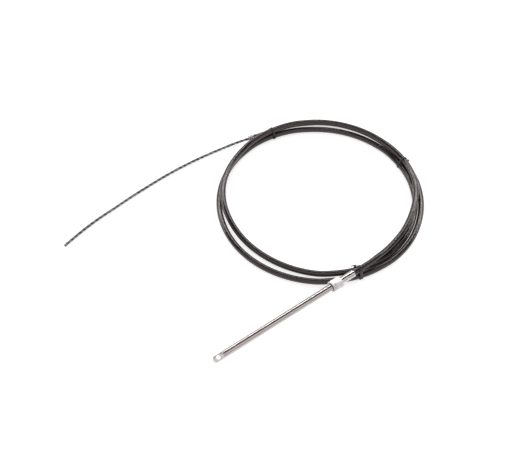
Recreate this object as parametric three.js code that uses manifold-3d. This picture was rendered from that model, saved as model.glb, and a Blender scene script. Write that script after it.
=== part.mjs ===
import * as THREE from 'three';
import { mergeVertices } from 'three/addons/utils/BufferGeometryUtils.js';
import Module from 'manifold-3d';

// Boat steering cable, coiled as it is sold. Millimetres and degrees, +Z up.
// The output rod lies to the front left, the coil behind it, and the bare core runs off to the left.

// Cable
const JACKET_DIAMETER = 14;
const CORE_DIAMETER = 7;
const SEAT_GAP = 0.3;

// Output end, from the jacket's socket to the rod's eye
const SLEEVE_DIAMETER = 16.4;
const SLEEVE_EXPOSED_LENGTH = 37.7;
const SLEEVE_SOCKET_DEPTH = 28;
const SLEEVE_MOUTH_CHAMFER = 0.6;
const COLLAR_DIAMETER = 20;
const COLLAR_LENGTH = 4;
const GUIDE_DIAMETER = 11.8;
const GUIDE_BORE = 8;
const GUIDE_SHANK_LENGTH = 14;
const ROD_DIAMETER = 15.9;
const ROD_BORE = 12.6;
const ROD_TRAVEL = 229;
const ROD_OVERLAP_LEFT = 34;
const ROD_PLUG_CLEARANCE = 13.4;

// Coupling nut
const NUT_ACROSS_FLATS = 25.7;
const NUT_LENGTH = 25;
const NUT_BACK_WALL = 4;
const NUT_THREAD_BORE = 20.6;
const NUT_CHAMFER = 1.6;
const NUT_RUNNING_GAP = 0.35;
const NUT_ROLL = -27;

// Rod eye; its flats and the nut's are rolled round the rod's axis as they lie, towards the front
const EYE_HOLE_DIAMETER = 10;
const EYE_HOLE_TO_END = 12;
const EYE_FLAT_THICKNESS = 9.5;
const EYE_FLAT_LENGTH = 24;
const EYE_END_RADIUS = 8.6;
const EYE_SHOULDER_LENGTH = 3;
const EYE_SHANK_DIAMETER = 12;
const EYE_SHANK_LENGTH = 22;
const EYE_END_BEVEL = 0.8;
const EYE_ROLL = -25;

// Helm end ferrule, pressed on behind the jacket's cut end
const FERRULE_DIAMETER = 14;
const FERRULE_LENGTH = 14;
const FERRULE_EDGE = 0.7;
const CORE_CLEARANCE = 0.3;

// Ties
const TIE_THICKNESS = 1.2;
const TIE_WIDTH = 3.6;
const TIE_CLEARANCE = 0.5;
const TIE_HEAD = { length: 5, height: 3.2, width: 5 };
const TIE_HEAD_RISE = 15;
const TIE_TAIL_LENGTH = 3;

// Lie of the coil: the angle between the jacket's sections, and the radius the ties are placed on
const STEP_ANGLE = 12;
const COIL_RADIUS = 242;

// Lie of the output end: the mouth of its sleeve in the coil's frame, and which way the rod points
const MOUTH = new THREE.Vector2(65.1, -231.8);
const ROD_HEADING = 214.7;

const JACKET_RADIUS = JACKET_DIAMETER / 2;
const CORE_RADIUS = CORE_DIAMETER / 2;
const SECTION_SIDES = { jacket: 10, core: 8 };
const ROUND_SIDES = 40;

// Each row is the angle travelled round the coil, the strand's radius and its height over a strand on the floor.
// The first turn starts on top at the sleeve, and the last one ends outermost at the helm end.
const STRAND_STATIONS = [
  [-65, 229.5, 16.6],
  [-55, 221.4, 15.1],
  [-43, 216.4, 12.6],
  [-30, 217.0, 12.4],
  [-15, 221.2, 13.6],
  [0, 230.0, 14.6],
  [12, 238.0, 14.2],
  [26, 243.2, 13.6],
  [42, 247.0, 12.6],
  [60, 252.0, 12.9],
  [85, 256.0, 12.4],
  [103, 252.6, 13.6],
  [119, 247.6, 14.2],
  [134, 243.0, 14.8],
  [150, 238.6, 14.6],
  [168, 235.6, 13.9],
  [184, 230.4, 12.0],
  [200, 223.6, 7.0],
  [216, 218.4, 2.2],
  [232, 215.4, 0],
  [250, 216.6, 0],
  [270, 220.6, 0],
  [288, 223.0, 0],
  [305, 225.0, 0],
  [325, 225.4, 0],
  [345, 226.8, 0],
  [365, 231.0, 0],
  [388, 234.4, 0],
  [410, 239.0, 0],
  [430, 241.1, 0],
  [460, 241.9, 0],
  [500, 242.8, 0],
  [540, 241.4, 0],
  [580, 242.6, 0],
  [620, 242.0, 0],
  [645, 240.5, 0],
  [665, 240.0, 0],
  [685, 240.6, 0],
  [705, 241.8, 0],
  [728, 246.2, 0],
  [748, 249.6, 0],
  [762, 254.4, 0],
  [780, 262.6, 0],
  [803, 267.2, 0],
  [822, 263.5, 0],
  [838, 258.5, 0],
];

// The middle of the ferrule's face, where the core comes out, in the coil's frame
const FERRULE_FACE = new THREE.Vector2(-172.6, 207.6);

// The core's route over the floor, hand placed from the ferrule to its tip: x and y
const CORE_POINTS = [
  [-190.5, 200.6],
  [-214.0, 189.9],
  [-240.0, 176.0],
  [-267.0, 159.8],
  [-294.0, 142.9],
  [-320.0, 125.2],
  [-346.0, 106.2],
  [-371.5, 86.2],
  [-397.0, 64.8],
  [-421.5, 42.8],
  [-446.0, 20.9],
  [-470.0, -2.0],
  [-493.5, -25.0],
  [-516.5, -46.9],
  [-538.5, -69.5],
  [-559.5, -93.2],
  [-578.0, -116.1],
  [-595.0, -138.0],
];

// The core comes down to the floor over this many of its points
const CORE_FALL_POINTS = 3;

// Where each tie goes round the bundle: its angle, the wraps side by side, and the side its head sits on
const TIES = [
  { name: 'tie_left', angle: 116.9, wraps: 1, head: 'inner', skew: 0, slack: 0 },
  { name: 'tie_right', angle: 29, wraps: 1, head: 'outer', skew: 2, slack: 0 },
  { name: 'tie_rod_end', angle: -70.3, wraps: 2, head: 'inner', skew: 2, slack: 0.7 },
];

const wasm = await Module();
wasm.setup();

const radians = THREE.MathUtils.degToRad;

// Distance from a strand's middle to the outside of the tie round it
function tieReach({ skew, slack }) {
  return JACKET_RADIUS / Math.cos(radians(skew)) + TIE_CLEARANCE + slack + TIE_THICKNESS;
}

// Height that the bundle is lifted by the tie under it, in full for one step on both sides of the tie
function lift(angle) {
  const rises = TIES.map((tie) => {
    const turns = Math.round((angle - tie.angle) / 360);
    const away = Math.abs(angle - tie.angle - 360 * turns) / STEP_ANGLE - 1;
    const share = 0.5 + 0.5 * Math.cos(Math.PI * THREE.MathUtils.clamp(away, 0, 1));
    return share * (tieReach(tie) - JACKET_RADIUS);
  });
  return Math.max(...rises);
}

// Smooth value between the strand's stations: column 1 is the radius, column 2 the height
function strandValue(angle, column) {
  const rows = STRAND_STATIONS;
  const last = rows.length - 1;
  let i = 0;
  while (i < last - 1 && angle > rows[i + 1][0]) i += 1;
  const before = rows[Math.max(i - 1, 0)];
  const after = rows[Math.min(i + 2, last)];
  const [from, to] = [rows[i], rows[i + 1]];
  const span = to[0] - from[0];
  const t = (angle - from[0]) / span;
  const slopeFrom = (to[column] - before[column]) / (to[0] - before[0]);
  const slopeTo = (after[column] - from[column]) / (after[0] - from[0]);
  const blend = t * t * (3 - 2 * t);
  const bow = t * (1 - t) * span;
  return from[column] * (1 - blend) + to[column] * blend
    + bow * ((1 - t) * slopeFrom - t * slopeTo);
}

// A point of the jacket's centreline at an angle travelled round the coil
function strandPoint(angle) {
  const radius = strandValue(angle, 1);
  const height = JACKET_RADIUS + strandValue(angle, 2) + lift(angle);
  const turn = radians(angle);
  return new THREE.Vector3(radius * Math.cos(turn), radius * Math.sin(turn), height);
}

// A route whose sections stand on its own points, so that neighbouring turns have their facets in line
class StationCurve extends THREE.CatmullRomCurve3 {
  getPointAt(u, target) {
    return this.getPoint(u, target);
  }

  getTangentAt(u, target) {
    return this.getTangent(u, target);
  }
}

function roundSection(radius, sides) {
  const points = [];
  for (let i = 0; i < sides; i += 1) {
    const turn = (2 * Math.PI * i) / sides;
    points.push(new THREE.Vector2(radius * Math.cos(turn), radius * Math.sin(turn)));
  }
  return new THREE.Shape(points);
}

function tubeAlong(points, radius, sides) {
  const path = new StationCurve(points, false, 'centripetal');
  return new THREE.ExtrudeGeometry(roundSection(radius, sides), {
    steps: points.length - 1,
    extrudePath: path,
    curveSegments: 1,
  });
}

// A turned piece along +X: the profile lists [distance along X, radius], its outside first and forwards
function turned(profile) {
  const outline = profile.map(([x, radius]) => new THREE.Vector2(radius, x));
  const geometry = new THREE.LatheGeometry(outline, ROUND_SIDES);
  geometry.rotateZ(-Math.PI / 2);
  return geometry;
}

function toSolid(geometry) {
  const bare = geometry.index ? geometry.toNonIndexed() : geometry.clone();
  bare.deleteAttribute('normal');
  bare.deleteAttribute('uv');
  const merged = mergeVertices(bare, 1e-4);
  return new wasm.Manifold(new wasm.Mesh({
    numProp: 3,
    vertProperties: new Float32Array(merged.attributes.position.array),
    triVerts: new Uint32Array(merged.index.array),
  }));
}

function toGeometry(solid) {
  const mesh = solid.getMesh();
  const geometry = new THREE.BufferGeometry();
  geometry.setAttribute('position', new THREE.BufferAttribute(mesh.vertProperties, 3));
  geometry.setIndex(new THREE.BufferAttribute(mesh.triVerts, 1));
  geometry.computeVertexNormals();
  return geometry;
}

const part = new THREE.Group();

function addPiece(parent, name, geometry, color, roughness, metalness) {
  const material = new THREE.MeshStandardMaterial({ color, roughness, metalness });
  const mesh = new THREE.Mesh(geometry, material);
  mesh.name = name;
  parent.add(mesh);
  return mesh;
}

const BLACK_PLASTIC = [0x2b282a, 0.45, 0];
const BLACK_NYLON = [0x17161a, 0.5, 0];
const DARK_WIRE = [0x4a4748, 0.5, 0.7];
const STAINLESS = [0xc9c4c4, 0.22, 1];
const SATIN_STEEL = [0xcfc9cf, 0.4, 0.9];
const CRIMPED_STEEL = [0x8b8380, 0.45, 0.9];

// Output end: its pieces lie along +X of this group, from the sleeve's mouth to the eye

const nutBack = SLEEVE_EXPOSED_LENGTH;
const nutFront = nutBack + NUT_LENGTH;
const collarBack = nutBack + NUT_BACK_WALL + SEAT_GAP;
const collarFront = collarBack + COLLAR_LENGTH;
const rodBack = collarFront + SEAT_GAP;
const guideFront = rodBack + ROD_TRAVEL + ROD_OVERLAP_LEFT;
const eyeShoulderBack = guideFront + ROD_PLUG_CLEARANCE + EYE_SHANK_LENGTH;
const eyeFlatsBack = eyeShoulderBack + EYE_SHOULDER_LENGTH;
const eyeEnd = eyeFlatsBack + EYE_FLAT_LENGTH;
const rodTubeFront = eyeShoulderBack - SEAT_GAP;
const rodRadius = ROD_DIAMETER / 2;

// The sleeve's mouth clears the two strands below it, and the rod's far end rests on the floor
const mouthHeight = strandPoint(STRAND_STATIONS[0][0]).z;
const rodPitch = Math.atan((mouthHeight - rodRadius) / eyeShoulderBack);

const outputEnd = new THREE.Group();
outputEnd.position.set(MOUTH.x, MOUTH.y, mouthHeight);
outputEnd.rotation.set(0, rodPitch, radians(ROD_HEADING), 'ZYX');
part.add(outputEnd);

// Anchor sleeve: a steel tube crimped on the jacket's end, with a collar that the nut pulls on
function sleeve() {
  const outer = SLEEVE_DIAMETER / 2;
  const socket = JACKET_RADIUS + SEAT_GAP;
  const guideSeat = GUIDE_DIAMETER / 2 + SEAT_GAP;
  const profile = [
    [SLEEVE_MOUTH_CHAMFER, outer],
    [collarBack, outer],
    [collarBack, COLLAR_DIAMETER / 2],
    [collarFront, COLLAR_DIAMETER / 2],
    [collarFront, guideSeat],
    [SLEEVE_SOCKET_DEPTH, guideSeat],
    [SLEEVE_SOCKET_DEPTH, socket],
    [0, socket],
    [0, outer - SLEEVE_MOUTH_CHAMFER],
    [SLEEVE_MOUTH_CHAMFER, outer],
  ];
  return turned(profile);
}

// Guide tube: fixed in the sleeve, the rod slides over it and the core runs through it
function guideTube() {
  const outer = GUIDE_DIAMETER / 2;
  const bore = GUIDE_BORE / 2;
  const back = collarFront - GUIDE_SHANK_LENGTH;
  return turned([
    [back, outer],
    [guideFront, outer],
    [guideFront, bore],
    [back, bore],
    [back, outer],
  ]);
}

// Rod tube: the polished outer tube that slides over the guide
function rodTube() {
  const bore = ROD_BORE / 2;
  return turned([
    [rodBack, rodRadius],
    [rodTubeFront, rodRadius],
    [rodTubeFront, bore],
    [rodBack, bore],
    [rodBack, rodRadius],
  ]);
}

// Rod end: a solid plug in the tube with two milled flats, a round nose and a cross hole
function rodEnd() {
  const shank = EYE_SHANK_DIAMETER / 2;
  const bar = toSolid(turned([
    [eyeShoulderBack - EYE_SHANK_LENGTH, 0],
    [eyeShoulderBack - EYE_SHANK_LENGTH, shank],
    [eyeShoulderBack, shank],
    [eyeShoulderBack, rodRadius],
    [eyeEnd - EYE_END_BEVEL, rodRadius],
    [eyeEnd, rodRadius - EYE_END_BEVEL],
    [eyeEnd, 0],
  ]));
  const holeX = eyeEnd - EYE_HOLE_TO_END;
  const noseX = eyeEnd - EYE_END_RADIUS;
  const cutDepth = rodRadius - EYE_FLAT_THICKNESS / 2;
  const flatTop = new THREE.BoxGeometry(2 * EYE_FLAT_LENGTH, 2 * ROD_DIAMETER, 2 * cutDepth);
  flatTop.translate(eyeFlatsBack + EYE_FLAT_LENGTH, 0, rodRadius);
  const flatBottom = flatTop.clone().translate(0, 0, -ROD_DIAMETER);
  const hole = new THREE.CylinderGeometry(
    EYE_HOLE_DIAMETER / 2,
    EYE_HOLE_DIAMETER / 2,
    2 * ROD_DIAMETER,
    ROUND_SIDES,
  );
  hole.rotateX(Math.PI / 2).translate(holeX, 0, 0);
  const nose = new THREE.CylinderGeometry(
    EYE_END_RADIUS,
    EYE_END_RADIUS,
    2 * ROD_DIAMETER,
    ROUND_SIDES,
  );
  nose.rotateX(Math.PI / 2).translate(noseX, 0, 0);
  const barBack = new THREE.BoxGeometry(2 * eyeEnd, 2 * ROD_DIAMETER, 2 * ROD_DIAMETER);
  barBack.translate(noseX - eyeEnd, 0, 0);
  const outline = toSolid(barBack).add(toSolid(nose));
  const solid = bar
    .intersect(outline)
    .subtract(toSolid(flatTop))
    .subtract(toSolid(flatBottom))
    .subtract(toSolid(hole));
  return toGeometry(solid).rotateX(radians(EYE_ROLL));
}

// Coupling nut: a hexagon with both ends chamfered, bored for the thread and for the sleeve
function couplingNut() {
  const corner = NUT_ACROSS_FLATS / Math.sqrt(3);
  const hexagon = new THREE.ExtrudeGeometry(roundSection(corner, 6), {
    depth: NUT_LENGTH,
    bevelEnabled: false,
  });
  hexagon.rotateZ(Math.PI / 2).rotateY(Math.PI / 2).translate(nutBack, 0, 0);
  const chamferRadius = corner - NUT_CHAMFER;
  const chamferRun = NUT_CHAMFER * Math.tan(radians(35));
  const chamfered = turned([
    [nutBack, 0],
    [nutBack, chamferRadius],
    [nutBack + chamferRun, corner],
    [nutFront - chamferRun, corner],
    [nutFront, chamferRadius],
    [nutFront, 0],
  ]);
  const backBore = SLEEVE_DIAMETER / 2 + NUT_RUNNING_GAP;
  const threadBore = NUT_THREAD_BORE / 2;
  const pastEnd = NUT_LENGTH;
  const bore = turned([
    [nutBack - pastEnd, 0],
    [nutBack - pastEnd, backBore],
    [nutBack + NUT_BACK_WALL, backBore],
    [nutBack + NUT_BACK_WALL, threadBore],
    [nutFront + pastEnd, threadBore],
    [nutFront + pastEnd, 0],
  ]);
  const solid = toSolid(hexagon).intersect(toSolid(chamfered)).subtract(toSolid(bore));
  return toGeometry(solid).rotateX(radians(NUT_ROLL));
}

addPiece(outputEnd, 'anchor_sleeve', sleeve(), ...STAINLESS);
addPiece(outputEnd, 'guide_tube', guideTube(), ...STAINLESS);
addPiece(outputEnd, 'rod_tube', rodTube(), ...STAINLESS);
addPiece(outputEnd, 'rod_end', rodEnd(), ...STAINLESS);
addPiece(outputEnd, 'coupling_nut', couplingNut(), ...SATIN_STEEL);

// Jacket: one plastic tube from the sleeve's socket, round the coil, to the ferrule

outputEnd.updateMatrixWorld(true);
const socketFloor = new THREE.Vector3(SLEEVE_SOCKET_DEPTH - SEAT_GAP, 0, 0)
  .applyMatrix4(outputEnd.matrixWorld);
const mouth = new THREE.Vector3().applyMatrix4(outputEnd.matrixWorld);

const jacketPoints = [socketFloor, mouth];
const strandEnd = STRAND_STATIONS[STRAND_STATIONS.length - 1][0];
const firstStation = STRAND_STATIONS[0][0];
for (let angle = firstStation; angle <= strandEnd; angle += STEP_ANGLE) {
  jacketPoints.push(strandPoint(angle));
}

// The last stretch is straight and in line with the ferrule and the core's start
const [coreX, coreY] = CORE_POINTS[0];
const ferruleFace = new THREE.Vector3(FERRULE_FACE.x, FERRULE_FACE.y, JACKET_RADIUS);
const endHeading = new THREE.Vector3(coreX - ferruleFace.x, coreY - ferruleFace.y, 0).normalize();
const ferruleBack = ferruleFace.clone().addScaledVector(endHeading, -FERRULE_LENGTH);
const jacketEnd = ferruleBack.clone().addScaledVector(endHeading, -SEAT_GAP);
jacketPoints.push(jacketEnd.clone().addScaledVector(endHeading, -JACKET_DIAMETER), jacketEnd);
addPiece(
  part,
  'jacket',
  tubeAlong(jacketPoints, JACKET_RADIUS, SECTION_SIDES.jacket),
  ...BLACK_PLASTIC,
);

// Core: the wound wire that the helm drives, bare from the ferrule to its rounded tip

const corePoints = [ferruleBack, ferruleFace];
CORE_POINTS.forEach(([x, y], i) => {
  const fall = Math.min((i + 1) / CORE_FALL_POINTS, 1);
  const height = THREE.MathUtils.lerp(ferruleFace.z, CORE_RADIUS, fall);
  corePoints.push(new THREE.Vector3(x, y, height));
});
addPiece(part, 'core', tubeAlong(corePoints, CORE_RADIUS, SECTION_SIDES.core), ...DARK_WIRE);

// Ferrule: a steel collar on the conduit behind the jacket, with a hole for the core

function ferrule() {
  const outside = FERRULE_DIAMETER / 2;
  const coreHole = CORE_RADIUS + CORE_CLEARANCE;
  return turned([
    [-FERRULE_LENGTH, outside],
    [-FERRULE_EDGE, outside],
    [0, outside - FERRULE_EDGE],
    [0, coreHole],
    [-FERRULE_LENGTH, coreHole],
    [-FERRULE_LENGTH, outside],
  ]);
}

const helmEnd = new THREE.Group();
helmEnd.position.copy(ferruleFace);
helmEnd.rotation.z = Math.atan2(endHeading.y, endHeading.x);
part.add(helmEnd);
addPiece(helmEnd, 'ferrule', ferrule(), ...CRIMPED_STEEL);

// Ties: nylon straps drawn round the bundle, each with its locking head and a short cut tail

// The outline of a band drawn round equal circles, in the plane across the bundle
function wrapOutline(centres, radius) {
  const points = [];
  const count = centres.length;
  const arcSteps = 5;
  for (let i = 0; i < count; i += 1) {
    const before = centres[(i + count - 1) % count];
    const here = centres[i];
    const after = centres[(i + 1) % count];
    const from = Math.atan2(here.y - before.y, here.x - before.x) - Math.PI / 2;
    let to = Math.atan2(after.y - here.y, after.x - here.x) - Math.PI / 2;
    if (to < from) to += 2 * Math.PI;
    for (let k = 0; k <= arcSteps; k += 1) {
      const turn = from + ((to - from) * k) / arcSteps;
      points.push(new THREE.Vector2(
        here.x + radius * Math.cos(turn),
        here.y + radius * Math.sin(turn),
      ));
    }
  }
  return points;
}

// Where the jacket's strands pass through an upright plane: distance along it from its origin, and height
function strandCrossings(origin, direction) {
  const across = new THREE.Vector2(-direction.y, direction.x);
  const found = [];
  for (let i = 1; i < jacketPoints.length; i += 1) {
    const [from, to] = [jacketPoints[i - 1], jacketPoints[i]];
    const before = new THREE.Vector2(from.x, from.y).sub(origin);
    const after = new THREE.Vector2(to.x, to.y).sub(origin);
    const [sideFrom, sideTo] = [before.dot(across), after.dot(across)];
    const share = sideFrom / (sideFrom - sideTo);
    const along = before.clone().lerp(after, share).dot(direction);
    if (sideFrom * sideTo <= 0 && Math.abs(along) < COIL_RADIUS / 2) {
      found.push(new THREE.Vector2(along, THREE.MathUtils.lerp(from.z, to.z, share)));
    }
  }
  return found;
}

function tie({ angle, wraps, head, skew, slack }) {
  const heading = radians(angle + skew);
  const origin = new THREE.Vector2(Math.cos(radians(angle)), Math.sin(radians(angle)))
    .multiplyScalar(COIL_RADIUS);
  const direction = new THREE.Vector2(Math.cos(heading), Math.sin(heading));
  const crossings = strandCrossings(origin, direction).sort((a, b) => b.y - a.y);
  const top = crossings[0];
  const [inner, outer] = crossings.slice(1, 3).sort((a, b) => a.x - b.x);
  const width = wraps * TIE_WIDTH;
  const outside = tieReach({ skew, slack });
  const inside = outside - TIE_THICKNESS;
  const centres = [inner, outer, top];
  const band = new THREE.Shape(wrapOutline(centres, outside));
  band.holes.push(new THREE.Path(wrapOutline(centres, inside)));
  const strap = new THREE.ExtrudeGeometry(band, { depth: width, bevelEnabled: false });
  strap.translate(0, 0, -width / 2);

  // The head sits on the side of the strand at the bundle's edge, a little above that strand's middle
  const edge = head === 'inner' ? inner : outer;
  const side = head === 'inner' ? -1 : 1;
  const rise = radians(TIE_HEAD_RISE);
  const outward = new THREE.Vector2(side * Math.cos(rise), Math.sin(rise));
  const box = new THREE.BoxGeometry(TIE_HEAD.length, TIE_HEAD.height, TIE_HEAD.width);
  const tail = new THREE.BoxGeometry(TIE_THICKNESS, TIE_TAIL_LENGTH, TIE_WIDTH - SEAT_GAP);
  const sink = TIE_THICKNESS / 2;
  tail.translate(0, (TIE_HEAD.height + TIE_TAIL_LENGTH) / 2 - sink, 0);
  const seat = edge.clone().addScaledVector(outward, outside - sink + TIE_HEAD.height / 2);
  const solids = [box, tail].map((geometry) => {
    geometry.rotateZ(Math.atan2(outward.y, outward.x) - Math.PI / 2);
    geometry.translate(seat.x, seat.y, 0);
    return toSolid(geometry);
  });
  const joined = toGeometry(toSolid(strap).add(solids[0]).add(solids[1]));

  // Stand the outline up: its x runs across the bundle, its y is the height
  return joined.rotateX(Math.PI / 2).rotateZ(heading).translate(origin.x, origin.y, 0);
}

TIES.forEach((row) => addPiece(part, row.name, tie(row), ...BLACK_NYLON));

// Origin: the middle of the whole object, on the surface it lies on
part.updateMatrixWorld(true);
const bounds = new THREE.Box3().setFromObject(part, true);
const middle = bounds.getCenter(new THREE.Vector3());
part.position.set(-middle.x, -middle.y, -bounds.min.z);

export default part;
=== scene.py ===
import bisect
import math

import bmesh
import bpy
from mathutils import Matrix, Vector


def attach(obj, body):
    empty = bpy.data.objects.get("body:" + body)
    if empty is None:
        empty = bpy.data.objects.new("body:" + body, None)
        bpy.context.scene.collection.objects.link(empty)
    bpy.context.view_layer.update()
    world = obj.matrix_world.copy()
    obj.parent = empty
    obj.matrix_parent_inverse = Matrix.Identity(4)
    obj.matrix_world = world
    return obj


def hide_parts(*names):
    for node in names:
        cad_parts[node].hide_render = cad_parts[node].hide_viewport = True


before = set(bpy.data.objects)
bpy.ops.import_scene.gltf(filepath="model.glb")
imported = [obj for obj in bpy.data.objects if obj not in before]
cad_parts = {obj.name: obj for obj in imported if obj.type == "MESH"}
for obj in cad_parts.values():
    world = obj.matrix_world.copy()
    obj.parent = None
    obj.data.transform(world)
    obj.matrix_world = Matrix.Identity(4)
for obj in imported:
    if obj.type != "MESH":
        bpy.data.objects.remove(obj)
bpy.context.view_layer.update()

# Camera: a long lens two metres off and 51 degrees above the floor, where the photograph was taken from.
# It looks at a point on the floor left of the coil's middle.
LOOK_AT = Vector((0.03141, 0.00144, 0.00036))
CAMERA_DISTANCE = 2.0
CAMERA_ELEVATION = math.radians(51)

lens = bpy.data.cameras.new("camera")
lens.sensor_width = 36
lens.lens = 58.73
lens.clip_start = 0.1
lens.clip_end = 50
camera = bpy.data.objects.new("camera", lens)
camera.location = LOOK_AT + CAMERA_DISTANCE * Vector(
    (0, -math.cos(CAMERA_ELEVATION), math.sin(CAMERA_ELEVATION))
)
camera.rotation_euler = (math.pi / 2 - CAMERA_ELEVATION, 0, 0)
bpy.context.scene.collection.objects.link(camera)
bpy.context.scene.camera = camera


# Jacket: a black plastic tube extruded over the wire conduit, coiled two and a half turns and tied.
# It leaves the sleeve's socket on top of the bundle and ends outermost, behind the helm end's ferrule.
JACKET_RADIUS = 0.007
JACKET_DARK = (0.012, 0.0088, 0.0084, 1)
JACKET_RUBBED = (0.026, 0.0195, 0.019, 1)
COIL_MIDDLE = Vector((0.1734106, 0.0874358, 0.0003599))

# The lay of the strand: degrees travelled round the coil, radius, height over the floor
STRAND_LAY = [
    (-65, 0.2295, 0.0166),
    (-55, 0.2214, 0.0151),
    (-43, 0.2164, 0.0126),
    (-30, 0.2170, 0.0124),
    (-15, 0.2212, 0.0136),
    (0, 0.2300, 0.0146),
    (12, 0.2380, 0.0142),
    (26, 0.2432, 0.0136),
    (42, 0.2470, 0.0126),
    (60, 0.2520, 0.0129),
    (85, 0.2560, 0.0124),
    (103, 0.2526, 0.0136),
    (119, 0.2476, 0.0142),
    (134, 0.2430, 0.0148),
    (150, 0.2386, 0.0146),
    (168, 0.2356, 0.0139),
    (184, 0.2304, 0.0120),
    (200, 0.2236, 0.0070),
    (216, 0.2184, 0.0022),
    (232, 0.2154, 0.0000),
    (250, 0.2166, 0.0000),
    (270, 0.2206, 0.0000),
    (288, 0.2230, 0.0000),
    (305, 0.2250, 0.0000),
    (325, 0.2254, 0.0000),
    (345, 0.2268, 0.0000),
    (365, 0.2310, 0.0000),
    (388, 0.2344, 0.0000),
    (410, 0.2390, 0.0000),
    (430, 0.2411, 0.0000),
    (460, 0.2419, 0.0000),
    (500, 0.2428, 0.0000),
    (540, 0.2414, 0.0000),
    (580, 0.2426, 0.0000),
    (620, 0.2420, 0.0000),
    (645, 0.2405, 0.0000),
    (665, 0.2400, 0.0000),
    (685, 0.2406, 0.0000),
    (705, 0.2418, 0.0000),
    (728, 0.2462, 0.0000),
    (748, 0.2496, 0.0000),
    (762, 0.2544, 0.0000),
    (780, 0.2626, 0.0000),
    (803, 0.2672, 0.0000),
    (822, 0.2635, 0.0000),
    (838, 0.2585, 0.0000),
]

# The ties that hold the bundle: angle, wraps side by side, side of the head, skew in degrees, slack
TIES = [
    ("tie_left", 116.9, 1, "inner", 0, 0),
    ("tie_right", 29, 1, "outer", 2, 0),
    ("tie_rod_end", -70.3, 2, "inner", 2, 0.0007),
]
TIE_THICKNESS = 0.0012
TIE_CLEARANCE = 0.0005
LIFT_ANGLE = 12


def tie_reach(skew, slack):
    """From a strand's middle to the outside of the strap round it."""
    return JACKET_RADIUS / math.cos(math.radians(skew)) + TIE_CLEARANCE + slack + TIE_THICKNESS


def tie_lift(angle):
    """How much the straps under the bundle raise it near each tie."""
    highest = 0
    for _, tie_angle, _, _, skew, slack in TIES:
        away = abs(angle - tie_angle - 360 * round((angle - tie_angle) / 360)) / LIFT_ANGLE - 1
        share = 0.5 + 0.5 * math.cos(math.pi * min(max(away, 0), 1))
        highest = max(highest, share * (tie_reach(skew, slack) - JACKET_RADIUS))
    return highest


def strand_value(angle, column):
    """A smooth value between the rows of the strand's lay."""
    rows = STRAND_LAY
    last = len(rows) - 1
    i = 0
    while i < last - 1 and angle > rows[i + 1][0]:
        i += 1
    start, end = rows[i], rows[i + 1]
    before, after = rows[max(i - 1, 0)], rows[min(i + 2, last)]
    span = end[0] - start[0]
    t = (angle - start[0]) / span
    slope_start = (end[column] - before[column]) / (end[0] - before[0])
    slope_end = (after[column] - start[column]) / (after[0] - start[0])
    eased = t * t * (3 - 2 * t)
    bow = t * (1 - t) * span * ((1 - t) * slope_start - t * slope_end)
    return start[column] * (1 - eased) + end[column] * eased + bow


def strand_point(angle):
    """A point of the jacket's centreline, seen from the coil's middle on the floor."""
    radius = strand_value(angle, 1)
    height = JACKET_RADIUS + strand_value(angle, 2) + tie_lift(angle)
    turn = math.radians(angle)
    return Vector((radius * math.cos(turn), radius * math.sin(turn), height))


# The output end lies along its own +X, from the sleeve's mouth down to the rod's eye on the floor
SLEEVE_LENGTH = 0.0377
NUT_LENGTH = 0.025
ROD_SHOWN = 0.309
ROD_RADIUS = 0.00795
EYE_FLAT_LENGTH = 0.024
EYE_SHOULDER = 0.003
SOCKET_DEPTH = 0.028
SEAT_GAP = 0.0003
SLEEVE_MOUTH = (0.0651, -0.2318)
ROD_HEADING = math.radians(214.7)

eye_end = SLEEVE_LENGTH + NUT_LENGTH + ROD_SHOWN
shoulder_back = eye_end - EYE_FLAT_LENGTH - EYE_SHOULDER
mouth_height = strand_point(STRAND_LAY[0][0]).z
rod_pitch = math.atan((mouth_height - ROD_RADIUS) / shoulder_back)
output_end = (
    Matrix.Translation(COIL_MIDDLE + Vector((*SLEEVE_MOUTH, mouth_height)))
    @ Matrix.Rotation(ROD_HEADING, 4, "Z")
    @ Matrix.Rotation(rod_pitch, 4, "Y")
)

# The helm end: the middle of the ferrule's face, where the core comes out, and the way it points
FERRULE_LENGTH = 0.014
FERRULE_FACE = (-0.1726, 0.2076)
CORE_FIRST = (-0.1905, 0.2006)

ferrule_face = COIL_MIDDLE + Vector((*FERRULE_FACE, JACKET_RADIUS))
core_first = COIL_MIDDLE + Vector((*CORE_FIRST, JACKET_RADIUS))
helm_heading = (core_first - ferrule_face).normalized()
ferrule_back = ferrule_face - FERRULE_LENGTH * helm_heading
jacket_end = ferrule_back - SEAT_GAP * helm_heading

STRAND_STEP = 4
LAST_ANGLE = 835

first_angle = STRAND_LAY[0][0]
socket_floor = output_end @ Vector((SOCKET_DEPTH - SEAT_GAP, 0, 0))
jacket_knots = [socket_floor, output_end @ Vector((0, 0, 0))]
for k in range((LAST_ANGLE - first_angle) // STRAND_STEP + 1):
    jacket_knots.append(COIL_MIDDLE + strand_point(first_angle + STRAND_STEP * k))
jacket_knots += [jacket_end - 2 * JACKET_RADIUS * helm_heading, jacket_end]


LINE_STEPS = 3
TUBE_STEPS = 12


def laid_curve(name, knots):
    """A smooth open curve through given points."""
    curve = bpy.data.curves.new(name, "CURVE")
    curve.dimensions = "3D"
    curve.resolution_u = LINE_STEPS
    spline = curve.splines.new("BEZIER")
    spline.bezier_points.add(len(knots) - 1)
    for point, place in zip(spline.bezier_points, knots):
        point.co = place
        point.handle_left_type = point.handle_right_type = "AUTO"
    return curve


def curve_to_mesh(curve):
    """The curve's evaluated mesh; without a bevel it is the line's own points."""
    holder = bpy.data.objects.new(curve.name, curve)
    bpy.context.scene.collection.objects.link(holder)
    bpy.context.view_layer.update()
    mesh = bpy.data.meshes.new_from_object(
        holder.evaluated_get(bpy.context.evaluated_depsgraph_get())
    )
    bpy.data.objects.remove(holder)
    return mesh


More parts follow.
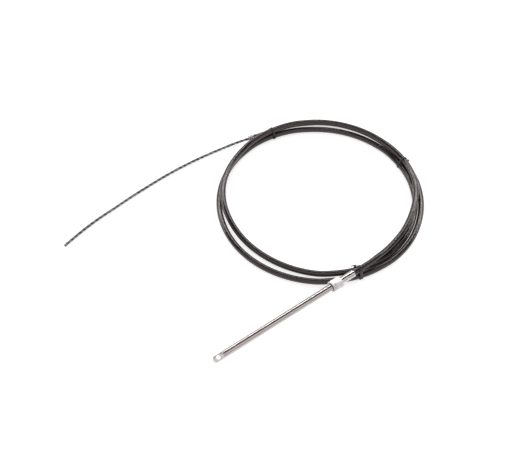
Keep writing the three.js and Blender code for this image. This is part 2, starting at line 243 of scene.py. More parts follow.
def line_points(knots):
    """The smooth line's points, close together."""
    return [v.co.copy() for v in curve_to_mesh(laid_curve("line", knots)).vertices]


def add_node(tree, kind, sockets=None, **settings):
    """A shader node with its settings; each socket takes a value or another node's output."""
    made = tree.nodes.new(kind)
    for name, value in settings.items():
        setattr(made, name, value)
    for socket, value in (sockets or {}).items():
        if isinstance(value, bpy.types.NodeSocket):
            tree.links.new(value, made.inputs[socket])
        else:
            made.inputs[socket].default_value = value
    return made


def two_tones(tree, mask, low, high, start=0.35, end=0.65):
    """A colour between two tones where the mask goes from start to end."""
    ramp = add_node(tree, "ShaderNodeValToRGB", {"Fac": mask})
    for stop, place, colour in zip(ramp.color_ramp.elements, (start, end), (low, high)):
        stop.position = place
        stop.color = colour
    return ramp.outputs["Color"]


def ranged(tree, mask, low, high, start=0.3, end=0.7):
    """A number between low and high where the mask goes from start to end."""
    sockets = {"Value": mask, "From Min": start, "From Max": end, "To Min": low, "To Max": high}
    return add_node(tree, "ShaderNodeMapRange", sockets).outputs["Result"]


def new_finish(name, **plain):
    """A material whose shader has its plain values set on its own sockets."""
    finish = bpy.data.materials.new(name)
    finish.use_nodes = True
    shader = finish.node_tree.nodes["Principled BSDF"]
    for socket, value in plain.items():
        shader.inputs[socket.replace("_", " ")].default_value = value
    return finish, finish.node_tree, shader


def bump_up(tree, shader, height, distance, strength=1.0):
    """Joins a height to the shader's normal."""
    sockets = {"Height": height, "Distance": distance, "Strength": strength}
    bump = add_node(tree, "ShaderNodeBump", sockets)
    tree.links.new(bump.outputs["Normal"], shader.inputs["Normal"])


# Surface grain: fine grain, broad clouding and thin handling scuffs, shared by every finish
grain = bpy.data.node_groups.new("surface_grain", "ShaderNodeTree")
grain.interface.new_socket("Vector", in_out="INPUT", socket_type="NodeSocketVector")
for socket in ("Fine", "Broad"):
    grain.interface.new_socket(socket, in_out="INPUT", socket_type="NodeSocketFloat")
for socket in ("Grain", "Clouding", "Scuffs"):
    grain.interface.new_socket(socket, in_out="OUTPUT", socket_type="NodeSocketFloat")
grain_in = grain.nodes.new("NodeGroupInput").outputs
grain_out = grain.nodes.new("NodeGroupOutput").inputs
at = grain_in["Vector"]
fine = add_node(grain, "ShaderNodeTexNoise", {"Vector": at, "Scale": grain_in["Fine"], "Detail": 3})
broad = add_node(grain, "ShaderNodeTexNoise", {"Vector": at, "Scale": grain_in["Broad"], "Detail": 4})
crooked = {"Vector": at, "Scale": grain_in["Broad"], "Detail": 6, "Distortion": 2.4}
hairs = add_node(grain, "ShaderNodeTexNoise", crooked)
grain.links.new(fine.outputs[0], grain_out["Grain"])
grain.links.new(broad.outputs[0], grain_out["Clouding"])
grain.links.new(ranged(grain, hairs.outputs[0], 0, 1, 0.6, 0.72), grain_out["Scuffs"])


def grain_node(tree, vector, fine_scale, broad_scale):
    """The shared grain in one material, at that material's own scales."""
    made = tree.nodes.new("ShaderNodeGroup")
    made.node_tree = grain
    tree.links.new(vector, made.inputs["Vector"])
    made.inputs["Fine"].default_value = fine_scale
    made.inputs["Broad"].default_value = broad_scale
    return made


jacket_plastic, tree, shader = new_finish(
    "jacket_plastic", Specular_IOR_Level=0.7, Specular_Tint=(1, 0.91, 0.90, 1)
)
place = add_node(tree, "ShaderNodeTexCoord").outputs
look = grain_node(tree, place["Object"], 900, 30)
along = add_node(tree, "ShaderNodeMapping", {"Vector": place["UV"], "Scale": (6, 10, 1)})
streaks = add_node(tree, "ShaderNodeTexNoise", {"Vector": along.outputs[0], "Scale": 4, "Detail": 3})
tone = two_tones(tree, look.outputs["Clouding"], JACKET_DARK, JACKET_RUBBED)
tree.links.new(tone, shader.inputs["Base Color"])
tree.links.new(ranged(tree, look.outputs["Clouding"], 0.17, 0.25), shader.inputs["Roughness"])
relief = add_node(
    tree,
    "ShaderNodeMath",
    {0: look.outputs["Grain"], 1: 0.35, 2: streaks.outputs[0]},
    operation="MULTIPLY_ADD",
)
bump_up(tree, shader, relief.outputs[0], 0.000003, 0.3)

jacket_curve = laid_curve("jacket_tube", jacket_knots)
jacket_curve.bevel_depth = JACKET_RADIUS
jacket_curve.bevel_resolution = TUBE_STEPS
jacket_curve.use_fill_caps = True
jacket_mesh = curve_to_mesh(jacket_curve)
jacket_mesh.name = "jacket_tube"
jacket_mesh.materials.clear()
jacket_mesh.materials.append(jacket_plastic)
jacket_mesh.polygons.foreach_set("use_smooth", [True] * len(jacket_mesh.polygons))
jacket_mesh.set_sharp_from_angle(angle=math.radians(50))
jacket_line = line_points(jacket_knots)
jacket = bpy.data.objects.new("jacket_tube", jacket_mesh)
bpy.context.scene.collection.objects.link(jacket)
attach(jacket, "cable")
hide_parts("jacket")


# Ferrule: a steel collar pressed on the conduit behind the jacket's cut end, with a hole for the core.
# It is turned, with rolled grooves where the press gripped it, and left bright.
FERRULE_RADIUS = 0.007
FERRULE_GROOVE = 0.0006
FERRULE_GROOVE_STARTS = (-0.0114, -0.0072)
FERRULE_GROOVE_SLOPE = 0.0005
FERRULE_GROOVE_WIDTH = 0.0021
FERRULE_NOSE = ((-0.0008, 0), (-0.0002, 0.0004), (0, 0.0010))
FERRULE_RIM_DEPTH = 0.0005
FERRULE_RIM_WIDTH = 0.0004
SMOOTH_UNDER = math.radians(24)
CORE_RADIUS = 0.0035
CORE_CLEARANCE = 0.0003
STEEL_WARM = (0.51, 0.465, 0.46, 1)
STEEL_DULL = (0.36, 0.33, 0.325, 1)


def rolled_groove(start, radius, depth, slope, width):
    """The half outline of a shallow groove with sloping sides."""
    return [
        (start, radius),
        (start + slope, radius - depth),
        (start + width - slope, radius - depth),
        (start + width, radius),
    ]


def turned(profile, steps=96, closed=True):
    """A shape turned about X from its half outline of places along X and radii."""
    shape = bmesh.new()
    corners = [shape.verts.new((x, 0, radius)) for x, radius in profile]
    pairs = zip(corners, corners[1:] + corners[:1]) if closed else zip(corners, corners[1:])
    edges = [shape.edges.new(pair) for pair in pairs]
    bmesh.ops.spin(
        shape,
        geom=corners + edges,
        cent=(0, 0, 0),
        axis=(1, 0, 0),
        angle=2 * math.pi,
        steps=steps,
        use_merge=True,
    )
    bmesh.ops.remove_doubles(shape, verts=shape.verts, dist=1e-7)
    bmesh.ops.recalc_face_normals(shape, faces=shape.faces)
    return shape


def add_piece(shape, name, place, finish, body, node):
    """Bakes a shape at its place into a named piece that rides on a body and stands for a node."""
    bmesh.ops.transform(shape, matrix=place, verts=shape.verts)
    mesh = bpy.data.meshes.new(name)
    shape.to_mesh(mesh)
    shape.free()
    mesh.polygons.foreach_set("use_smooth", [True] * len(mesh.polygons))
    mesh.set_sharp_from_angle(angle=SMOOTH_UNDER)
    mesh.materials.append(finish)
    piece = bpy.data.objects.new(name, mesh)
    bpy.context.scene.collection.objects.link(piece)
    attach(piece, body)
    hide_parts(node)
    return piece


def lined_steel(name, heading, light, dark, rough, lines):
    """Bright steel with fine turning lines round an axis that lies at that heading."""
    finish, tree, shader = new_finish(name, Metallic=1.0)
    place = add_node(tree, "ShaderNodeTexCoord").outputs["Object"]
    turned_back = {"Vector": place, "Angle": -heading}
    turn = add_node(tree, "ShaderNodeVectorRotate", turned_back, rotation_type="Z_AXIS")
    stretched = {"Vector": turn.outputs[0], "Scale": (lines, 30, 30)}
    stretch = add_node(tree, "ShaderNodeMapping", stretched)
    rings = add_node(tree, "ShaderNodeTexNoise", {"Vector": stretch.outputs[0], "Scale": 1, "Detail": 4})
    look = grain_node(tree, place, 1200, 60)
    tone = two_tones(tree, look.outputs["Clouding"], dark, light, 0.25, 0.5)
    tree.links.new(tone, shader.inputs["Base Color"])
    dulled = ranged(tree, look.outputs["Scuffs"], rough, rough + 0.12, 0, 1)
    tree.links.new(dulled, shader.inputs["Roughness"])
    bump_up(tree, shader, rings.outputs[0], 0.000004, 0.4)
    return finish


helm_angle = math.atan2(helm_heading.y, helm_heading.x)
helm_end = Matrix.Translation(ferrule_face) @ Matrix.Rotation(helm_angle, 4, "Z")
core_hole = CORE_RADIUS + CORE_CLEARANCE
ferrule_profile = [
    (-FERRULE_LENGTH, FERRULE_RADIUS - FERRULE_GROOVE),
    (-FERRULE_LENGTH + FERRULE_GROOVE, FERRULE_RADIUS),
]
for start in FERRULE_GROOVE_STARTS:
    ferrule_profile += rolled_groove(
        start, FERRULE_RADIUS, FERRULE_GROOVE, FERRULE_GROOVE_SLOPE, FERRULE_GROOVE_WIDTH
    )
ferrule_profile += [(x, FERRULE_RADIUS - inward) for x, inward in FERRULE_NOSE]
ferrule_profile += [
    (0, core_hole + FERRULE_RIM_WIDTH),
    (-FERRULE_RIM_DEPTH, core_hole),
    (-FERRULE_LENGTH, core_hole),
]
ferrule_steel = lined_steel("ferrule_steel", helm_angle, STEEL_WARM, STEEL_DULL, 0.22, 2500)
ferrule_shape = turned(ferrule_profile)
ferrule = add_piece(
    ferrule_shape, "ferrule_collar", helm_end, ferrule_steel, "cable", "ferrule"
)


# Core: the wire that the helm drives, a round wire wound in a close screw over a steel strand.
# It is bare from the ferrule on, lies on the floor and ends in a rounded tip; its finish is grey and oily,
# and painted shade winds along it in a screw line at the lay's pitch, standing for the shade in the lay's
# groove.
CORE_STRAND_RADIUS = 0.0024
CORE_WIRE_RADIUS = 0.00112
CORE_PITCH = 0.00254
CORE_TIP_LENGTH = 0.005
CORE_TIP_EDGE = 0.0003
CORE_TIP_EDGE_RUN = 0.0004
CORE_TIP = ((0.0024, 1), (0.0014, 0.9), (0.0006, 0.7), (0.0001, 0.35), (0, 0))
CORE_RINGS = 110
CORE_LAY = 0.0127
CORE_LIGHT = (0.36, 0.36, 0.37, 1)
# The dark tone is painted shade for the lay's groove
CORE_GROOVE_SHADE = (0.06, 0.06, 0.062, 1)
CORE_LAY_TONE = 0.23
CORE_FALL_POINTS = 3

# The core's route, given point by point, seen from the coil's middle
CORE_ROUTE = [
    CORE_FIRST,
    (-0.2140, 0.1899),
    (-0.2400, 0.1760),
    (-0.2670, 0.1598),
    (-0.2940, 0.1429),
    (-0.3200, 0.1252),
    (-0.3460, 0.1062),
    (-0.3715, 0.0862),
    (-0.3970, 0.0648),
    (-0.4215, 0.0428),
    (-0.4460, 0.0209),
    (-0.4700, -0.0020),
    (-0.4935, -0.0250),
    (-0.5165, -0.0469),
    (-0.5385, -0.0695),
    (-0.5595, -0.0932),
    (-0.5780, -0.1161),
    (-0.5950, -0.1380),
]
core_knots = [ferrule_back, ferrule_face]
for i, (x, y) in enumerate(CORE_ROUTE):
    fall = min((i + 1) / CORE_FALL_POINTS, 1)
    height = JACKET_RADIUS + (CORE_RADIUS - JACKET_RADIUS) * fall
    core_knots.append(COIL_MIDDLE + Vector((x, y, height)))
core_line = line_points(core_knots)
core_reach = [0.0]
for before, after in zip(core_line, core_line[1:]):
    core_reach.append(core_reach[-1] + (after - before).length)


def bend_along(shape, line, reach):
    """Lays a straight shape that runs along +X over a line, upright all the way."""
    last = len(line) - 1
    heads = [(line[min(i + 1, last)] - line[max(i - 1, 0)]).normalized() for i in range(last + 1)]
    for corner in shape.verts:
        i = min(max(bisect.bisect(reach, corner.co.x) - 1, 0), last - 1)
        t = (corner.co.x - reach[i]) / (reach[i + 1] - reach[i])
        ahead = heads[i].lerp(heads[i + 1], t).normalized()
        across = Vector((0, 0, 1)).cross(ahead).normalized()
        up = ahead.cross(across)
        corner.co = line[i].lerp(line[i + 1], t) + corner.co.y * across + corner.co.z * up


core_end = core_reach[-1]
strand_stop = core_end - CORE_TIP_LENGTH
core_profile = [(0, 0)]
for k in range(CORE_RINGS + 1):
    core_profile.append((strand_stop * k / CORE_RINGS, CORE_STRAND_RADIUS))
core_profile += [
    (strand_stop, CORE_RADIUS - CORE_TIP_EDGE),
    (strand_stop + CORE_TIP_EDGE_RUN, CORE_RADIUS),
]
core_profile += [(core_end - back, CORE_RADIUS * share) for back, share in CORE_TIP]
core_shape = turned(core_profile, steps=20, closed=False)

WIRE_SIDES = 6
WIRE_STEPS_A_TURN = 12
wire_turns = int((strand_stop - CORE_WIRE_RADIUS) / CORE_PITCH)
wire = bmesh.new()
first_section = Matrix.Translation((CORE_WIRE_RADIUS, 0, CORE_RADIUS - CORE_WIRE_RADIUS))
bmesh.ops.create_circle(
    wire,
    segments=WIRE_SIDES,
    radius=CORE_WIRE_RADIUS,
    cap_ends=False,
    matrix=first_section @ Matrix.Rotation(math.pi / 2, 4, "X"),
)
bmesh.ops.spin(
    wire,
    geom=wire.verts[:] + wire.edges[:],
    cent=(0, 0, 0),
    axis=(1, 0, 0),
    dvec=(CORE_PITCH / WIRE_STEPS_A_TURN, 0, 0),
    angle=2 * math.pi * wire_turns,
    steps=WIRE_STEPS_A_TURN * wire_turns,
    use_merge=False,
)
bmesh.ops.holes_fill(wire, edges=[e for e in wire.edges if e.is_boundary], sides=WIRE_SIDES)
bmesh.ops.recalc_face_normals(wire, faces=wire.faces)
wire_mesh = bpy.data.meshes.new("wire")
wire.to_mesh(wire_mesh)
wire.free()
core_shape.from_mesh(wire_mesh)
bpy.data.meshes.remove(wire_mesh)
along_core = core_shape.verts.layers.float.new("along_core")
for corner in core_shape.verts:
    corner[along_core] = corner.co.x + CORE_LAY * math.atan2(corner.co.y, corner.co.z) / (2 * math.pi)
bend_along(core_shape, core_line, core_reach)

core_wire, tree, shader = new_finish("core_wire", Metallic=0.85)
place = add_node(tree, "ShaderNodeTexCoord").outputs["Object"]
look = grain_node(tree, place, 1500, 85)
length = add_node(tree, "ShaderNodeAttribute", attribute_name="along_core").outputs["Fac"]
# A sine round the lay paints a dark shade stripe along the lay's groove; random clouding is added to it
turns = add_node(tree, "ShaderNodeMath", {0: length, 1: 2 * math.pi / CORE_LAY}, operation="MULTIPLY")
wave = add_node(tree, "ShaderNodeMath", {0: turns.outputs[0]}, operation="SINE")
mixed = {0: wave.outputs[0], 1: CORE_LAY_TONE, 2: look.outputs["Clouding"]}
lay = add_node(tree, "ShaderNodeMath", mixed, operation="MULTIPLY_ADD")
tone = two_tones(tree, lay.outputs[0], CORE_GROOVE_SHADE, CORE_LIGHT, 0.25, 0.75)
tree.links.new(tone, shader.inputs["Base Color"])
tree.links.new(ranged(tree, look.outputs["Clouding"], 0.30, 0.46), shader.inputs["Roughness"])
bump_up(tree, shader, look.outputs["Grain"], 0.00001, 0.4)
core = add_piece(core_shape, "core_winding", Matrix.Identity(4), core_wire, "cable", "core")


# Anchor sleeve: a polished steel tube, gripped on the jacket's end by two shallow rolled grooves.
# Its collar sits inside the coupling nut, which draws it against the engine's tube.
SLEEVE_RADIUS = 0.0082
SLEEVE_WALL_INSIDE = JACKET_RADIUS + SEAT_GAP
COLLAR_RADIUS = 0.010
COLLAR_LENGTH = 0.004
NUT_BACK_WALL = 0.004
GUIDE_RADIUS = 0.0059
SWAGE_GROOVE = 0.0002
SWAGE_WIDTH = 0.0012
SWAGE_STARTS = (0.0040, 0.0330)
SLEEVE_NOSE = ((0, 0.0006), (0.0004, 0.0002), (0.0010, 0))
SLEEVE_RIM = 0.0003
COLLAR_EDGE = 0.0004
STEEL_BRIGHT = (0.60, 0.565, 0.56, 1)
STEEL_SHADE = (0.44, 0.405, 0.40, 1)

collar_back = SLEEVE_LENGTH + NUT_BACK_WALL + SEAT_GAP
collar_front = collar_back + COLLAR_LENGTH
sleeve_nose = [(x, SLEEVE_RADIUS - inward) for x, inward in SLEEVE_NOSE]
sleeve_profile = sleeve_nose[-1:]
for start in SWAGE_STARTS:
    sleeve_profile += rolled_groove(start, SLEEVE_RADIUS, SWAGE_GROOVE, SWAGE_GROOVE, SWAGE_WIDTH)
sleeve_profile += [
    (collar_back, SLEEVE_RADIUS),
    (collar_back, COLLAR_RADIUS - COLLAR_EDGE),
    (collar_back + COLLAR_EDGE, COLLAR_RADIUS),
    (collar_front - COLLAR_EDGE, COLLAR_RADIUS),
    (collar_front, COLLAR_RADIUS - COLLAR_EDGE),
    (collar_front, GUIDE_RADIUS + SEAT_GAP),
    (SOCKET_DEPTH, GUIDE_RADIUS + SEAT_GAP),
    (SOCKET_DEPTH, SLEEVE_WALL_INSIDE),
    (SLEEVE_RIM, SLEEVE_WALL_INSIDE),
    (0, SLEEVE_WALL_INSIDE + SLEEVE_RIM),
]
sleeve_profile += sleeve_nose[:-1]
sleeve_steel = lined_steel("sleeve_steel", ROD_HEADING, STEEL_BRIGHT, STEEL_SHADE, 0.13, 1600)
sleeve_shape = turned(sleeve_profile)
add_piece(
    sleeve_shape, "sleeve_swaged", output_end, sleeve_steel, "cable", "anchor_sleeve"
)


# Guide tube: the inner stainless tube, fixed in the sleeve, that the rod slides over.
# It is out of sight until the rod is drawn out, and shines a little greasy.
GUIDE_BORE = 0.004
GUIDE_SHANK = 0.014
ROD_TRAVEL = 0.229
ROD_OVERLAP = 0.034
GUIDE_EDGE = 0.0005
GUIDE_EDGE_RUN = 0.0006
GUIDE_RIM = 0.0002
GUIDE_RIM_DEPTH = 0.0003

guide_back = collar_front - GUIDE_SHANK
guide_front = collar_front + SEAT_GAP + ROD_TRAVEL + ROD_OVERLAP
guide_profile = [
    (guide_back, GUIDE_RADIUS),
    (guide_front - GUIDE_EDGE_RUN, GUIDE_RADIUS),
    (guide_front, GUIDE_RADIUS - GUIDE_EDGE),
    (guide_front, GUIDE_BORE + GUIDE_RIM),
    (guide_front - GUIDE_RIM_DEPTH, GUIDE_BORE),
    (guide_back, GUIDE_BORE),
]
guide_steel = lined_steel("guide_steel", ROD_HEADING, STEEL_SHADE, STEEL_DULL, 0.2, 900)
guide_shape = turned(guide_profile)
add_piece(
    guide_shape, "guide_turned", output_end, guide_steel, "cable", "guide_tube"
)


# Rod tube: the polished stainless output tube that pushes and pulls the engine.
# It is centreless ground and buffed, and rolled down in a narrow groove over the end plug.
ROD_BORE = 0.0063
PLUG_LENGTH = 0.022
PLUG_GROOVE = 0.0003
PLUG_GROOVE_WIDTH = 0.0020
ROD_BACK_EDGE = 0.0005
ROD_FRONT_EDGE = 0.0006
ROD_FRONT_EDGE_RUN = 0.0007

rod_back = collar_front + SEAT_GAP
rod_front = shoulder_back - SEAT_GAP
roll = rod_front - PLUG_LENGTH
rod_profile = [(rod_back + ROD_BACK_EDGE, ROD_RADIUS)]
rod_profile += rolled_groove(roll, ROD_RADIUS, PLUG_GROOVE, PLUG_GROOVE, PLUG_GROOVE_WIDTH)
rod_profile += [
    (rod_front - ROD_FRONT_EDGE_RUN, ROD_RADIUS),
    (rod_front, ROD_RADIUS - ROD_FRONT_EDGE),
    (rod_front, ROD_BORE),
    (rod_back, ROD_BORE),
    (rod_back, ROD_RADIUS - ROD_BACK_EDGE),
]
rod_steel = lined_steel("rod_steel", ROD_HEADING, STEEL_WARM, STEEL_SHADE, 0.11, 700)
add_piece(turned(rod_profile), "rod_polished", output_end, rod_steel, "rod", "rod_tube")


# Rod end: a solid steel plug in the tube, milled to two flats with a round nose and a reamed cross hole.
# The engine's link arm bolts through it; its edges are broken and its flats show the cutter's lines.
EYE_ROLL = math.radians(-25)
EYE_HOLE_RADIUS = 0.005
EYE_HOLE_TO_END = 0.012
EYE_HALF_THICKNESS = 0.00475
EYE_NOSE_RADIUS = 0.0086
PLUG_RADIUS = 0.006
SHOULDER_EDGE = 0.0005
EYE_END_EDGE = 0.0008
HOLE_RIM = 0.0005
CUTTER_REACH = 0.02
HOLE_CUTTER_SPREAD = 0.0152
EYE_EDGE_BREAK = 0.0003


def carved(body, cutter, how):
    """One shape cut by, or kept inside, another, with the exact solver."""
    holders = []
    for shape in (body, cutter):
        mesh = bpy.data.meshes.new("carving")
        shape.to_mesh(mesh)
        shape.free()
        holders.append(bpy.data.objects.new("carving", mesh))
        bpy.context.scene.collection.objects.link(holders[-1])
    cut = holders[0].modifiers.new("cut", "BOOLEAN")
    cut.operation = how
    cut.solver = "EXACT"
    cut.object = holders[1]
    bpy.context.view_layer.update()
    result = bmesh.new()
    result.from_object(holders[0], bpy.context.evaluated_depsgraph_get())
    for holder in holders:
        bpy.data.objects.remove(holder)
    bmesh.ops.remove_doubles(result, verts=result.verts, dist=1e-6)
    return result


def break_edges(shape, width, angle):
    """Bevels the edges that are sharper than an angle."""
    bmesh.ops.dissolve_limit(shape, angle_limit=math.radians(0.5), verts=shape.verts, edges=shape.edges)
    sharp = [e for e in shape.edges if e.is_manifold and e.calc_face_angle() > math.radians(angle)]
    bmesh.ops.bevel(
        shape,
        geom=sharp,
        offset=width,
        offset_type="OFFSET",
        affect="EDGES",
        segments=2,
        profile=0.5,
        clamp_overlap=True,
        material=-1,
    )


def block(low, high):
    """A square block between two corners."""
    shape = bmesh.new()
    bmesh.ops.create_cube(shape, size=1)
    low, high = Vector(low), Vector(high)
    bmesh.ops.scale(shape, vec=high - low, verts=shape.verts)
    bmesh.ops.translate(shape, vec=(low + high) / 2, verts=shape.verts)
    return shape


eye = turned(
    [
        (shoulder_back - PLUG_LENGTH, 0),
        (shoulder_back - PLUG_LENGTH, PLUG_RADIUS),
        (shoulder_back, PLUG_RADIUS),
        (shoulder_back, ROD_RADIUS - SHOULDER_EDGE),
        (shoulder_back + SHOULDER_EDGE, ROD_RADIUS),
        (eye_end - EYE_END_EDGE, ROD_RADIUS),
        (eye_end, ROD_RADIUS - EYE_END_EDGE),
        (eye_end, 0),
    ],
    closed=False,
)
flats_back = eye_end - EYE_FLAT_LENGTH
for side in (-1, 1):
    near, far = sorted((side * EYE_HALF_THICKNESS, side * CUTTER_REACH))
    cutter = block(
        (flats_back, -CUTTER_REACH, near), (eye_end + CUTTER_REACH / 2, CUTTER_REACH, far)
    )
    eye = carved(eye, cutter, "DIFFERENCE")
nose_middle = eye_end - EYE_NOSE_RADIUS
nose = bmesh.new()
bmesh.ops.create_cone(
    nose,
    cap_ends=True,
    segments=96,
    radius1=EYE_NOSE_RADIUS,
    radius2=EYE_NOSE_RADIUS,
    depth=2 * CUTTER_REACH,
    matrix=Matrix.Translation((nose_middle, 0, 0)),
)
bar = block((0, -CUTTER_REACH, -CUTTER_REACH), (nose_middle, CUTTER_REACH, CUTTER_REACH))
outline = carved(nose, bar, "UNION")
eye = carved(eye, outline, "INTERSECT")
hole = turned(
    [
        (-CUTTER_REACH, 0),
        (-CUTTER_REACH, EYE_HOLE_RADIUS + HOLE_CUTTER_SPREAD),
        (-EYE_HALF_THICKNESS, EYE_HOLE_RADIUS + HOLE_RIM),
        (-EYE_HALF_THICKNESS + HOLE_RIM, EYE_HOLE_RADIUS),
        (EYE_HALF_THICKNESS - HOLE_RIM, EYE_HOLE_RADIUS),
        (EYE_HALF_THICKNESS, EYE_HOLE_RADIUS + HOLE_RIM),
        (CUTTER_REACH, EYE_HOLE_RADIUS + HOLE_CUTTER_SPREAD),
        (CUTTER_REACH, 0),
    ],
    steps=48,
    closed=False,
)
stand = Matrix.Translation((eye_end - EYE_HOLE_TO_END, 0, 0)) @ Matrix.Rotation(math.pi / 2, 4, "Y")
bmesh.ops.transform(hole, matrix=stand, verts=hole.verts)
eye = carved(eye, hole, "DIFFERENCE")
break_edges(eye, EYE_EDGE_BREAK, 48)
rod_end_steel = lined_steel("rod_end_steel", ROD_HEADING, STEEL_BRIGHT, STEEL_SHADE, 0.24, 1400)
roll_eye = output_end @ Matrix.Rotation(EYE_ROLL, 4, "X")
add_piece(eye, "eye_milled", roll_eye, rod_end_steel, "rod", "rod_end")


# Coupling nut: a hexagon turned from bar, chamfered at both ends, with a fine thread cut in its bore.
# It turns freely on the sleeve behind the collar; a zinc coat gives it a soft, slightly violet white.
NUT_ACROSS_FLATS = 0.0257
NUT_CHAMFER = 0.0016
NUT_BORE = 0.0103
NUT_THREAD_ROOT = 0.0110
NUT_THREAD_PITCH = 0.0018
NUT_RUNNING_GAP = 0.00035
NUT_ROLL = math.radians(-27)
NUT_CHAMFER_ANGLE = math.radians(35)
NUT_EDGE_BREAK = 0.00025
NUT_BACK_RIM = 0.0005
NUT_FRONT_RIM = 0.0006
BORE_CUTTER_REACH = 0.01
ZINC_LIGHT = (0.84, 0.79, 0.82, 1)
ZINC_CLOUD = (0.66, 0.61, 0.64, 1)

nut_corner = NUT_ACROSS_FLATS / math.sqrt(3)
nut_back = SLEEVE_LENGTH
nut_front = nut_back + NUT_LENGTH
nut = bmesh.new()
hexagon = (
    Matrix.Translation((nut_back, 0, 0))
    @ Matrix.Rotation(math.pi / 2, 4, "Y")
    @ Matrix.Rotation(math.pi / 2, 4, "Z")
)
bmesh.ops.create_circle(nut, segments=6, radius=nut_corner, cap_ends=True, matrix=hexagon)
grown = bmesh.ops.extrude_face_region(nut, geom=nut.faces[:])["geom"]
far_end = [v for v in grown if isinstance(v, bmesh.types.BMVert)]
bmesh.ops.translate(nut, vec=(NUT_LENGTH, 0, 0), verts=far_end)
bmesh.ops.recalc_face_normals(nut, faces=nut.faces)
chamfer_run = NUT_CHAMFER * math.tan(NUT_CHAMFER_ANGLE)
turning = turned(
    [
        (nut_back, 0),
        (nut_back, nut_corner - NUT_CHAMFER),
        (nut_back + chamfer_run, nut_corner),
        (nut_front - chamfer_run, nut_corner),
        (nut_front, nut_corner - NUT_CHAMFER),
        (nut_front, 0),
    ],
    closed=False,
)
nut = carved(nut, turning, "INTERSECT")
back_bore = SLEEVE_RADIUS + NUT_RUNNING_GAP
bore = turned(
    [
        (nut_back - BORE_CUTTER_REACH, 0),
        (nut_back - BORE_CUTTER_REACH, back_bore + BORE_CUTTER_REACH + NUT_BACK_RIM),
        (nut_back + NUT_BACK_RIM, back_bore),
        (nut_back + NUT_BACK_WALL, back_bore),
        (nut_back + NUT_BACK_WALL, NUT_THREAD_ROOT),
        (nut_front - NUT_FRONT_RIM, NUT_THREAD_ROOT),
        (nut_front + BORE_CUTTER_REACH, NUT_THREAD_ROOT + BORE_CUTTER_REACH + NUT_FRONT_RIM),
        (nut_front + BORE_CUTTER_REACH, 0),
    ],
    closed=False,
)
nut = carved(nut, bore, "DIFFERENCE")
break_edges(nut, NUT_EDGE_BREAK, 20)

# The thread is one ridge wound down the bore
THREAD_STEPS_A_TURN = 32
THREAD_TURNS = 9
THREAD_RUN_OUT = 0.0022
THREAD_HALF_WIDTH = 0.0008
THREAD_SINK = 0.0002

thread_start = nut_back + NUT_BACK_WALL + THREAD_RUN_OUT
thread_foot = NUT_THREAD_ROOT + THREAD_SINK
ridge_outline = [
    (thread_start - THREAD_HALF_WIDTH, thread_foot),
    (thread_start, NUT_BORE),
    (thread_start + THREAD_HALF_WIDTH, thread_foot),
]
ridge = [nut.verts.new((x, 0, radius)) for x, radius in ridge_outline]
ridge_edges = [nut.edges.new((ridge[k], ridge[(k + 1) % 3])) for k in range(3)]
bmesh.ops.spin(
    nut,
    geom=ridge + ridge_edges,
    cent=(0, 0, 0),
    axis=(1, 0, 0),
    dvec=(NUT_THREAD_PITCH / THREAD_STEPS_A_TURN, 0, 0),
    angle=2 * math.pi * THREAD_TURNS,
    steps=THREAD_STEPS_A_TURN * THREAD_TURNS,
    use_merge=False,
)
bmesh.ops.holes_fill(nut, edges=[e for e in nut.edges if e.is_boundary], sides=3)
bmesh.ops.recalc_face_normals(nut, faces=nut.faces)

nut_zinc, tree, shader = new_finish("nut_zinc", Metallic=0.85)
place = add_node(tree, "ShaderNodeTexCoord").outputs["Object"]
look = grain_node(tree, place, 1400, 120)
tone = two_tones(tree, look.outputs["Clouding"], ZINC_CLOUD, ZINC_LIGHT)
tree.links.new(tone, shader.inputs["Base Color"])
tree.links.new(ranged(tree, look.outputs["Clouding"], 0.32, 0.44), shader.inputs["Roughness"])
bump_up(tree, shader, look.outputs["Grain"], 0.00001, 0.4)
roll_nut = output_end @ Matrix.Rotation(NUT_ROLL, 4, "X")
add_piece(nut, "nut_hexagon", roll_nut, nut_zinc, "nut", "coupling_nut")


# Ties: black nylon straps, each drawn tight round the three strands through its own locking head.
# The one at the rod end goes round twice and its tail lies along the strands; the others are cut short.
TIE_WIDTH = 0.0036
TIE_HEAD = Vector((0.005, 0.0032, 0.005))
TIE_HEAD_RISE = math.radians(15)
TIE_TAIL = 0.003
TIE_LOOSE_TAIL = 0.0095
TIE_STRAP_BREAK = 0.00028
TIE_HEAD_BREAK = 0.0004
TIE_TAIL_BREAK = 0.00025
TIE_WRAP_GAP = 0.0003
TIE_SLOT_WALL = 0.0009
TIE_SLOT_DEPTH = 0.0008
COIL_RADIUS = 0.242
NYLON = (0.010, 0.010, 0.012, 1)
NYLON_RUBBED = (0.024, 0.024, 0.027, 1)


def strand_crossings(origin, direction):
    """Where the jacket passes through an upright plane: how far along it, and how high."""
    across = Vector((-direction.y, direction.x))
    found = []
    for before, after in zip(jacket_line, jacket_line[1:]):
        start, end = before.xy - origin, after.xy - origin
        side_start, side_end = start.dot(across), end.dot(across)
        if side_start * side_end < 0:
            share = side_start / (side_start - side_end)
            along = start.lerp(end, share).dot(direction)
            if abs(along) < COIL_RADIUS / 2:
                found.append(Vector((along, before.lerp(after, share).z)))
    return found


def drawn_round(middles, radius, arc_steps=10):
    """The outline of a strap drawn tight round equal circles."""
    outline = []
    for i, here in enumerate(middles):
        before, after = middles[i - 1], middles[(i + 1) % len(middles)]
        start = math.atan2(here.y - before.y, here.x - before.x) - math.pi / 2
        end = math.atan2(after.y - here.y, after.x - here.x) - math.pi / 2
        if end < start:
            end += 2 * math.pi
        for k in range(arc_steps + 1):
            turn = start + (end - start) * k / arc_steps
            outline.append(here + radius * Vector((math.cos(turn), math.sin(turn))))
    return outline


